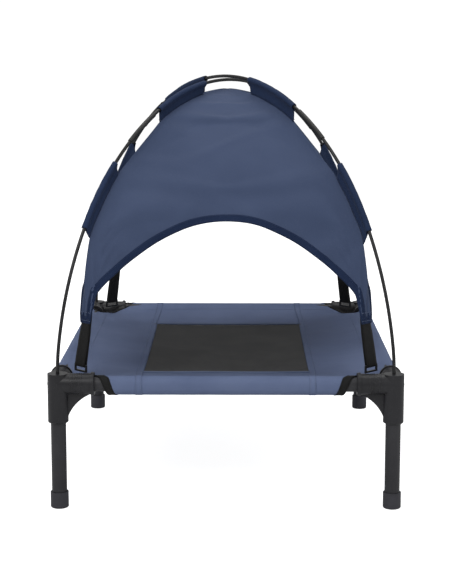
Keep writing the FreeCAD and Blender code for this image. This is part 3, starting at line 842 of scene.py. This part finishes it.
cover = {
    "cloth": 0.9 * mm, "gap": 18 * mm, "crownSag": 16 * mm, "crownFlat": 71 * mm, "lastPlace": 492 * mm,
    "archTop": 492 * mm, "legTop": 364 * mm, "archPower": 2.05, "tipHeight": 313 * mm, "tipInset": 51 * mm,
    "legLean": 6 * mm, "legWidth": 33 * mm, "tipWidth": 22 * mm, "kneeBulge": 1 * mm,
    "legColumns": 4, "tipColumns": 6, "middleColumns": 32, "rows": 54, "firstRing": 9 * mm,
    "tipHalf": 13.5 * mm, "tipDepth": 62.0 * mm, "kneeDepth": 8.0 * mm,
    "foldTop": 402 * mm, "foldEnd": 335 * mm, "pleat": 3.0 * mm, "pleats": 2.5,
    "wrinkle": 2.2 * mm, "crease": 3.0 * mm, "pull": 9.0 * mm, "pullReach": 110 * mm, "pullFolds": 9,
    "topSleeve": (71 * mm, 207 * mm), "lowSleeve": (354 * mm, 487 * mm), "slant": 9 * mm,
    "sewn": {"front_left": 0.0, "front_right": 10 * mm, "rear_left": 4 * mm, "rear_right": 0.0},
}
sim = {"frames": 26, "gravity": 0.5, "reach": 14 * mm,
       "cloth": {"quality": 7, "mass": 0.12, "tension_stiffness": 25, "compression_stiffness": 12,
                 "shear_stiffness": 8, "bending_stiffness": 1.2, "shrink_min": 0.004}}
cover["columns"] = 2 * (cover["legColumns"] + cover["tipColumns"]) + cover["middleColumns"]


def fallLine(s):
    # from the crown to a corner tip, 18 mm inside the pole, as evenly spaced (distance out, height)
    arcs = poles["lower"][0]
    knots = [(0.0, lowerCrown - s["crownSag"], 0.0)]
    for place in spread([s["crownFlat"], s["lastPlace"]], [12]):
        out, up, inX, inZ = poleProfile(arcs, place)
        knots.append((out - inX * s["gap"], up - inZ * s["gap"], place))
    tip = (halfDiagonal - s["tipInset"], s["tipHeight"])
    last = knots[-1]
    knots.append(((last[0] + tip[0]) / 2 + s["kneeBulge"], (last[1] + tip[1]) / 2, None))
    knots.append((*tip, None))
    line, marks = [], []
    for i in range(len(knots) - 1):
        a, b, c, d = (Vector(knots[min(max(i + k, 0), len(knots) - 1)][:2]) for k in (-1, 0, 1, 2))
        if i == 0:
            a = Vector((-c.x, c.y))   # level at the crown
        marks.append(len(line))
        for step in range(10):
            t = step / 10
            line.append(0.5 * ((2 * b) + (c - a) * t + (2 * a - 5 * b + 4 * c - d) * t * t
                               + (3 * b - a - 3 * c + d) * t ** 3))
    line.append(Vector(knots[-1][:2]))
    runs = [0.0]
    for a, b in zip(line, line[1:]):
        runs.append(runs[-1] + (b - a).length)
    places = [(knots[i][2], runs[m]) for i, m in enumerate(marks) if knots[i][2] is not None]
    return line, runs, places


fall, fallRuns, fallPlaces = fallLine(cover)


def onFall(run):
    run = min(max(run, 0.0), fallRuns[-1])
    i = next(k for k, r in enumerate(fallRuns) if r >= run - 1e-9)
    if i == 0:
        return fall[0]
    share = (run - fallRuns[i - 1]) / (fallRuns[i] - fallRuns[i - 1])
    return fall[i - 1].lerp(fall[i], share)


def panelRun(side, run):
    # length down the middle of a panel, which is less steep than the ridges
    depth = shareY if side in ("front", "rear") else shareX
    line = [onFall(at) for at in spread([0.0, run], [24])]
    return sum(math.hypot((b.x - a.x) * depth, b.y - a.y) for a, b in zip(line, line[1:]))


def runAt(place):
    # run of the cover's ridge under a place on the pole
    for (p0, r0), (p1, r1) in zip(fallPlaces, fallPlaces[1:]):
        if place <= p1:
            return r0 + (r1 - r0) * (place - p0) / (p1 - p0)
    return fallPlaces[-1][1] + place - fallPlaces[-1][0]


def sideShare(side):
    return shareX if side in ("front", "rear") else shareY


def sideSpot(side, u, run):
    # u goes from -1 to 1 between the two ridges of a side, going round anticlockwise
    out, up = onFall(run)
    a, b = u * out, out
    x, y = {"front": (a * shareX, -b * shareY), "right": (b * shareX, a * shareY),
            "rear": (-a * shareX, b * shareY), "left": (-b * shareX, -a * shareY)}[side]
    return Vector((x, y, up))


def archHeight(s, side, lateral):
    share = sideShare(side)
    foot = (halfDiagonal - s["tipInset"]) * share - s["tipWidth"]
    leg = (halfDiagonal - s["tipInset"] - s["legLean"]) * share - s["legWidth"]
    if lateral <= leg:
        return s["archTop"] - (s["archTop"] - s["legTop"]) * (lateral / leg) ** s["archPower"]
    if lateral <= foot:
        return s["legTop"] + (s["tipHeight"] - s["legTop"]) * (lateral - leg) / (foot - leg)
    return s["tipHeight"]


def columnEnd(s, side, u):
    low, high = 0.0, fallRuns[-1]
    for _ in range(40):
        middle = (low + high) / 2
        out, up = onFall(middle)
        if up > archHeight(s, side, abs(u) * out * sideShare(side)) + 1e-7:
            low = middle
        else:
            high = middle
    return high


def gatherTip(s, side, spot):
    # below the fold line each leg is gathered from an angle into a flat pleated end across the diagonal
    share = 1 - smoothStep(s["foldEnd"], s["foldTop"], spot.z)
    if share <= 0:
        return spot
    sx, sy = math.copysign(1, spot.x), math.copysign(1, spot.y)
    inX, inY = halfWidth - abs(spot.x), halfLength - abs(spot.y)
    lateral = abs(abs(spot.x) / shareX - abs(spot.y) / shareY) * sideShare(side)
    if side in ("left", "right"):
        lateral = -lateral
    width = s["tipWidth"]
    sideways = s["tipHalf"] * max(min(lateral / width, 6.0), -6.0)
    # pleats stand outwards only, and are pressed flat where the strap is sewn behind them
    press = 0.25 + 0.75 * smoothStep(s["tipHeight"] + 18 * mm, s["foldEnd"], spot.z)
    fold = -s["pleat"] * press * (0.5 + 0.5 * math.sin(math.pi * s["pleats"] * lateral / width))
    knee = smoothStep(s["tipHeight"] + 5 * mm, s["tipHeight"] + 47 * mm, spot.z)
    depth = s["tipDepth"] + fold + s["kneeDepth"] * knee
    middle = Vector(((depth + sideways) / math.sqrt(2), (depth - sideways) / math.sqrt(2)))
    inside = Vector((inX, inY)).lerp(middle, share)
    return Vector((sx * (halfWidth - inside.x), sy * (halfLength - inside.y), spot.z))


def columnPlaces(s, side):
    # columns from ridge to ridge, with some at the edges of the leg and of the tip
    share = sideShare(side)
    reach = (halfDiagonal - s["tipInset"]) * share
    foot = 1 - s["tipWidth"] / reach
    leg = 1 - s["legWidth"] / (reach - s["legLean"] * share)
    return mirrored(spread([leg, foot, 1.0], [s["legColumns"], s["tipColumns"]]), s["middleColumns"])[:-1]


def coverGrid(s):
    columns, patterns = [], []
    for side in sideNames:
        for u in columnPlaces(s, side):
            end = columnEnd(s, side, u)
            runs = [s["firstRing"] + (end - s["firstRing"]) * i / s["rows"] for i in range(s["rows"] + 1)]
            columns.append([gatherTip(s, side, sideSpot(side, u, run)) for run in runs])
            patterns.append((u, runs, [panelRun(side, run) for run in runs]))
    return columns, patterns


def coverMesh(s, columns, patterns):
    n, rows = s["columns"], s["rows"] + 1
    points = [p for column in columns for p in column]
    faces, faceFlat = [], []
    total = len(columns)

    def pattern(side, index, row, closing):
        u, runs, down = patterns[index]
        if closing:
            # the next side's first column has the same runs but its own slope
            u, down = 1.0, [panelRun(side, runs[row])] * (row + 1)
        return (u * onFall(runs[row]).x * sideShare(side) + 2 * sideNames.index(side), -down[row])

    for c in range(total):
        side = sideNames[c // n]
        d = (c + 1) % total
        closing = (c + 1) % n == 0
        for i in range(rows - 1):
            faces.append((c * rows + i, c * rows + i + 1, d * rows + i + 1, d * rows + i))
            faceFlat.append([pattern(side, c, i, False), pattern(side, c, i + 1, False),
                             pattern(side, d, i + 1, closing), pattern(side, d, i, closing)])
    crown = len(points)
    points.append(Vector((0, 0, onFall(0).y)))
    for c in range(total):
        side = sideNames[c // n]
        d = (c + 1) % total
        faces.append((crown, c * rows, d * rows))
        faceFlat.append([(2.0 * sideNames.index(side), 0.0), pattern(side, c, 0, False),
                         pattern(side, d, 0, (c + 1) % n == 0)])
    return newPiece("canopy_cover", points, faces, cloths["canopyBlueLitThrough"], faceFlat=faceFlat)


def drape(piece, s, settings, patterns):
    # cloth simulation: held at the sleeves and tips, it settles between them under its own weight
    n, rows = s["columns"], s["rows"] + 1
    held = []
    spans = [(0.0, runAt(s["topSleeve"][1] + s["slant"])),
             (runAt(s["lowSleeve"][0]), runAt(s["lowSleeve"][1] + s["slant"] + max(s["sewn"].values())))]
    for c in range(4 * n):
        runs = patterns[c][1]
        for i, run in enumerate(runs):
            atRidge = c % n == 0 and any(low - 5 * mm <= run <= high + 5 * mm for low, high in spans)
            if atRidge or onFall(run).y < s["tipHeight"] + 26 * mm:
                held.append(c * rows + i)
    group = piece.vertex_groups.new(name="held")
    group.add(held, 1.0, "REPLACE")
    cloth = piece.modifiers.new("cloth", "CLOTH")
    for name, value in settings["cloth"].items():
        setattr(cloth.settings, name, value)
    cloth.settings.vertex_group_mass = "held"
    cloth.settings.effector_weights.gravity = settings["gravity"]
    cloth.collision_settings.use_collision = False
    cloth.collision_settings.use_self_collision = False
    cloth.point_cache.frame_start = 1
    cloth.point_cache.frame_end = settings["frames"]
    scene = bpy.context.scene
    for step in range(1, settings["frames"] + 1):
        scene.frame_set(step)
    settled = piece.evaluated_get(bpy.context.evaluated_depsgraph_get()).data
    after = [v.co.copy() for v in settled.vertices]
    piece.modifiers.remove(cloth)
    scene.frame_set(1)
    furthest = 0.0
    for v, target in zip(piece.data.vertices, after):
        move = target - v.co
        furthest = max(furthest, move.length)
        if move.length > settings["reach"]:
            move *= settings["reach"] / move.length
        v.co += move
    print("cover settled, furthest point moved", round(furthest / mm, 1), "mm")


def wrinkle(piece, s):
    # shallow creases all over, and folds that run out from the lower sleeve ends
    out, up = onFall(runAt(s["lowSleeve"][1]))
    anchors = [Vector((a * out * shareX, b * out * shareY, up)) for a, b in corners.values()]
    normals = [v.normal.copy() for v in piece.data.vertices]
    for v, normal in zip(piece.data.vertices, normals):
        spot = v.co.copy()
        ridge = abs(abs(spot.x) / shareX - abs(spot.y) / shareY)   # nothing moves on the ridges
        nearest = min(anchors, key=lambda anchor: (spot - anchor).length)
        away = (spot - nearest).length
        side = spot.y / shareY if abs(spot.x) / shareX < abs(spot.y) / shareY else spot.x / shareX
        lateral = abs(abs(spot.x) - abs(nearest.x)) + abs(abs(spot.y) - abs(nearest.y))
        turn = math.atan2(spot.z - nearest.z, lateral + 4 * mm)
        folds = math.sin(turn * s["pullFolds"] + math.copysign(1.3, side)) * math.exp(-away / s["pullReach"])
        small = ripple(spot.x + spot.y * 0.7, spot.z * 1.4, spot.y * 0.4, 70 * mm)
        broad = ripple(spot.x, spot.z, spot.y, 170 * mm)
        line = ripple(spot.x * 0.6 + spot.z * 0.5, spot.z - spot.x * 0.3, spot.y, 210 * mm)
        crease = math.exp(-(line / 0.05) ** 2)
        move = s["pull"] * folds * smoothStep(0, 60 * mm, away) + s["wrinkle"] * (small + 1.4 * broad)
        move += s["crease"] * crease
        low = smoothStep(s["tipHeight"] + 40 * mm, s["foldTop"] + 20 * mm, spot.z)
        v.co += normal * move * smoothStep(3 * mm, 50 * mm, ridge) * low
    piece.data.update()


coverColumns, coverPatterns = coverGrid(cover)
canopyCover = coverMesh(cover, coverColumns, coverPatterns)
drape(canopyCover, cover, sim, coverPatterns)
wrinkle(canopyCover, cover)
settledSpots = [v.co.copy() for v in canopyCover.data.vertices]
perColumn = cover["rows"] + 1
settled = [settledSpots[c * perColumn:(c + 1) * perColumn] for c in range(4 * cover["columns"])]
if sum(f.normal.z * f.area for f in canopyCover.data.polygons) <= 0:
    canopyCover.data.flip_normals()


def ridgeSpot(corner, run):
    # the settled ridge over one corner, at a run from the crown
    index = startCorners.index(corner) * cover["columns"]
    column, runs = settled[index], coverPatterns[index][1]
    i = next((k for k, r in enumerate(runs) if r >= run), len(runs) - 1)
    if i == 0:
        return column[0]
    share = min((run - runs[i - 1]) / (runs[i] - runs[i - 1]), 1.0)
    return column[i - 1].lerp(column[i], share)


# pole sleeves: a band of cloth folded over the pole and sewn to the cover's ridge

sleeve = {"loop": 4.9 * mm, "ply": 0.65 * mm, "cloth": 0.8 * mm, "steps": 40, "wave": 0.9 * mm,
          "pucker": 0.5 * mm, "shift": 4 * mm}


def buildSleeve(s, poleName, sign, stretch, name, replaced):
    arcs, hand = poles[poleName]
    corner = {("lower", -1): "front_left", ("lower", 1): "rear_right",
              ("upper", -1): "front_right", ("upper", 1): "rear_left"}[(poleName, sign)]
    outward = Vector((corners[corner][0] * shareX, corners[corner][1] * shareY, 0))
    sideways = Vector((-outward.y, outward.x, 0))
    # across the fold: up one ply as (sideways, depth from the pole to the cover), round the pole and down
    section = [(-s["ply"], 1.09), (-s["ply"], 0.85), (-s["ply"], 0.65), (-1.1 * s["ply"], 0.5)]
    loop = [math.radians(-152 + 304 * step / 12) for step in range(13)]
    shift = s["shift"] - (cover["sewn"][corner] if stretch == cover["lowSleeve"] else 0.0)
    lines, seam = [], []

    def spot(place, offset, depth=0.0, angle=None):
        shifted = place + cover["slant"] * depth - shift
        out, up, inX, inZ = poleProfile(arcs, shifted)
        onPole = outward * out + Vector((0, 0, up))
        onRidge = ridgeSpot(corner, runAt(max(shifted, cover["crownFlat"])))
        wave = s["wave"] * ripple(shifted, 3.7 * hand, 5.1 * sign, 55 * mm)
        if angle is not None:
            below = -outward * inX - Vector((0, 0, inZ))
            radius = s["loop"] * (1 + 0.10 * ripple(shifted, angle, hand + sign, 14 * mm))
            return onPole + sideways * radius * math.sin(angle) - below * radius * math.cos(angle)
        pucker = s["pucker"] * ripple(shifted, 8.3 * sign, 2.2 * hand, 16 * mm) * smoothStep(0.6, 1.0, depth)
        swing = wave * math.sin(math.pi * min(depth, 1.0)) + pucker
        return onPole.lerp(onRidge, depth) + sideways * (offset + swing)

    for step in range(s["steps"] + 1):
        place = stretch[0] + (stretch[1] - stretch[0]) * step / s["steps"]
        lines.append([spot(place, offset, depth) for offset, depth in section]
                     + [spot(place, 0, angle=angle) for angle in loop]
                     + [spot(place, -offset, depth) for offset, depth in reversed(section)])
        seam.append([spot(place, side * (s["ply"] + s["cloth"] * 0.8), 0.88) for side in (1, -1)])
    piece = ribbonOn(name, lines, cloths["sleeveNavyShaded"], s["cloth"])
    return seat(piece, "canopy", "sleeve_cloth", replaced), [list(row) for row in zip(*seam)]


sleeves, sleeveRows = [], []
for poleName in poles:
    for sign, end in ((-1, "front"), (1, "rear")):
        for level, stretch in (("top", cover["topSleeve"]), ("low", cover["lowSleeve"])):
            node = "pole_%s_%s_sleeve_%s" % (poleName, level, end)
            made, rows = buildSleeve(sleeve, poleName, sign, stretch, "cloth_" + node, node)
            sleeves.append(made)
            sleeveRows += rows
print("pole sleeves folded:", len(sleeves))


# hems round the four doorways and the corner tips

hem = {"width": 12 * mm, "lift": 0.4 * mm, "cloth": 0.6 * mm}


def coverEdge():
    # the cover's edge in order, and at each of its points the way into the cloth
    whole = bmesh.new()
    whole.from_mesh(canopyCover.data)
    first = next(v for v in whole.verts if v.is_boundary)
    order, came = [first], None
    while True:
        here = order[-1]
        steps = [e for e in here.link_edges if e.is_boundary and e is not came]
        came = steps[0]
        after = came.other_vert(here)
        if after is first:
            break
        order.append(after)
    spots = [v.co.copy() for v in order]
    ways = []
    for i, v in enumerate(order):
        along = (spots[(i + 1) % len(spots)] - spots[i - 1]).normalized()
        middle = sum((f.calc_center_median() for f in v.link_faces), Vector()) / len(v.link_faces) - v.co
        ways.append((middle - along * middle.dot(along)).normalized())
    whole.free()
    return spots, ways


def buildHem(s):
    cage = BVHTree.FromObject(canopyCover, bpy.context.evaluated_depsgraph_get())
    spots, ways = coverEdge()
    total = len(spots)
    lines, rows = [], [[], []]
    for i, near in enumerate(spots):
        inward = sum((ways[(i + k) % total] * (3 - abs(k)) for k in (-2, -1, 0, 1, 2)), Vector()).normalized()

        def on(depth, lift):
            spot, face, _, _ = cage.find_nearest(near + inward * depth)
            return spot + face * lift

        depths = (s["width"], s["width"] * 0.66, s["width"] * 0.33, 0.4 * mm)
        front = [on(depth, s["lift"]) for depth in depths]
        back = [on(depth, -cover["cloth"] - s["lift"]) for depth in reversed(depths)]
        fold = (front[-1] + back[0]) / 2 - inward * 0.9 * mm
        lines.append(front + [fold] + back)
        for row, depth in zip(rows, (2.2 * mm, s["width"] - 1.8 * mm)):
            row.append(on(depth, s["lift"] + s["cloth"] * 0.7))
    lines.append(lines[0])
    piece = ribbonOn("canopy_hem", lines, cloths["hemNavyShaded"], s["cloth"])
    weld(piece)
    return seat(piece, "canopy", "sleeve_cloth"), [row + row[:1] for row in rows]


def tipRows(s):
    # two rows of stitches across every tip, where the strap is caught
    rows = []
    total, reach = 4 * s["columns"], s["tipColumns"]
    for corner, (sx, sy) in corners.items():
        start = startCorners.index(corner) * s["columns"]
        outward = Vector((sx, sy, 0)).normalized()
        for height in (s["tipHeight"] + 5 * mm, s["tipHeight"] + 19 * mm):
            row = []
            for c in range(start - reach, start + reach + 1):
                column = settled[c % total]
                low = next((i for i in range(len(column) - 1) if column[i + 1].z < height), None)
                if low is not None:
                    a, b = column[low], column[low + 1]
                    share = (a.z - height) / (a.z - b.z)
                    row.append(a.lerp(b, share) + outward * 1.5 * mm)
            rows.append(row)
    return rows


canopyCover.vertex_groups.clear()
finishCover = canopyCover.modifiers.new("smooth", "SUBSURF")
finishCover.levels = finishCover.render_levels = 1
applyModifiers(canopyCover)
canopyHem, hemRows = buildHem(hem)
print("doorways hemmed")
thicken(canopyCover, cover["cloth"])
seat(canopyCover, "canopy", "cover_cloth", *("canopy_panel_" + side for side in sideNames))


# straps: webbing doubled through each ring and sewn inside the tip

strap = {"width": 25 * mm, "thick": 1.3 * mm, "ring": 36 * mm, "bar": 3 * mm, "head": 68.5 * mm,
         "top": 332 * mm, "turnTop": -13, "turnLow": 8, "offset": 1.6 * mm}


def buildStrap(s, corner, sides):
    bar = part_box("strap_ring_" + corner)[1].z - s["bar"] / 2
    hand = sides[0] * sides[1]
    inward = Vector((-sides[0], -sides[1], 0)).normalized()
    level = Vector((-sides[1], sides[0], 0)).normalized() * hand
    leg = Vector((sides[0] * halfWidth, sides[1] * halfLength, 0))
    ringAt = leg + inward * (s["ring"] * math.sqrt(2))
    headAt = leg + inward * s["head"]
    radius = s["bar"] / 2 + s["thick"] * 0.75

    def plyPath(face, ply):
        # one ply from the tip down to the ring, in front of the middle or behind it
        path = []
        for step in range(17):
            t = step / 16
            off = inward * (s["thick"] * 0.8 + radius * t * t * 0.6)
            path.append((headAt.lerp(ringAt, t) + off * face, s["top"] + (bar - s["top"]) * t, ply))
        return path

    path = plyPath(-1, 0.0)
    for step in range(1, 8):   # round the ring's bar
        angle = math.pi * step / 8
        path.append((ringAt - inward * radius * math.cos(angle), bar - radius * math.sin(angle), step / 8))
    path += reversed(plyPath(1, 1.0))
    lines = []
    for base, height, ply in path:
        share = max((height - bar) / (s["top"] - bar), 0)
        turn = math.radians(s["turnLow"] + (s["turnTop"] - s["turnLow"]) * share) * share * hand
        across = Matrix.Rotation(turn, 3, "Z") @ level
        middle = base + across * s["offset"] * (ply - 0.5) * share + Vector((0, 0, height))
        bow = 0.5 * mm * ripple(height, ply * 4, sides[0] + sides[1] * 2, 30 * mm)
        lines.append([middle + across * (s["width"] * (i / 6 - 0.5)) + inward * bow for i in range(7)])
    piece = ribbonOn("strap_" + corner, lines, cloths["webbing"], s["thick"])
    return seat(piece, "canopy", "webbing", "canopy_strap_" + corner)


straps = [buildStrap(strap, corner, sides) for corner, sides in corners.items()]
canopyStitches = sewRows("canopy_stitches", hemRows + sleeveRows, cloths["navyThread"], "canopy",
                         "cover_cloth")
tipStitches = sewRows("tip_stitches", tipRows(cover), cloths["thread"], "canopy", "cover_cloth")
